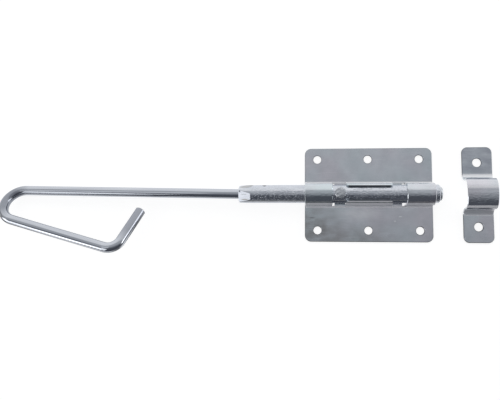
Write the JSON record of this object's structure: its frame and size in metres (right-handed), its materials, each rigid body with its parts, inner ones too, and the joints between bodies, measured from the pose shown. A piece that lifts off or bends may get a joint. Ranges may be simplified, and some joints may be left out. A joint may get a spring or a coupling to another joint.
{
  "type": "sliding bolt",
  "caption": "Gate bolt: round tubular bolt with a bent wire bow handle, carried by a pressed plate with two straps and a slot for its locking stud, and a separate keeper.",
  "frame": {"origin": "middle of the plate's four corner holes, on the plate's mounting face", "axes": "+X is the way the bolt shoots, from the handle to the keeper; +Y is across the plate, away from the handle's bow; +Z is out of the mounting face"},
  "size_m": [0.3965, 0.0859, 0.0369],
  "materials": {
    "plate_zinc": "zinc-plated pressed sheet steel, satin, with faint stains",
    "keeper_zinc": "zinc-plated pressed sheet steel, satin",
    "tube_zinc": "zinc-plated steel tube, bright, finely pitted",
    "plug_steel": "zinc-plated turned steel, bright",
    "stud_steel": "zinc-plated turned steel, bright and worn",
    "wire_zinc": "zinc-plated drawn steel wire, bright, with fine drawing lines"
  },
  "bodies": {
    "frame": {"mounting_plate": "plate_zinc", "keeper": "keeper_zinc"},
    "slide_carrier": {"nose_plug": "plug_steel"},
    "bolt": {"bolt_tube": "tube_zinc", "locking_stud": "stud_steel", "handle_rod": "wire_zinc"}
  },
  "joints": [
    {"name": "bolt_slide", "type": "slide", "parent": "frame", "child": "slide_carrier", "axis": [1, 0, 0], "range_m": [-0.0014, 0.0464]},
    {"name": "bolt_turn", "type": "hinge", "parent": "slide_carrier", "child": "bolt", "pos_m": [0, 0, 0.00745], "axis": [1, 0, 0], "range_deg": [-62, 33]}
  ]
}
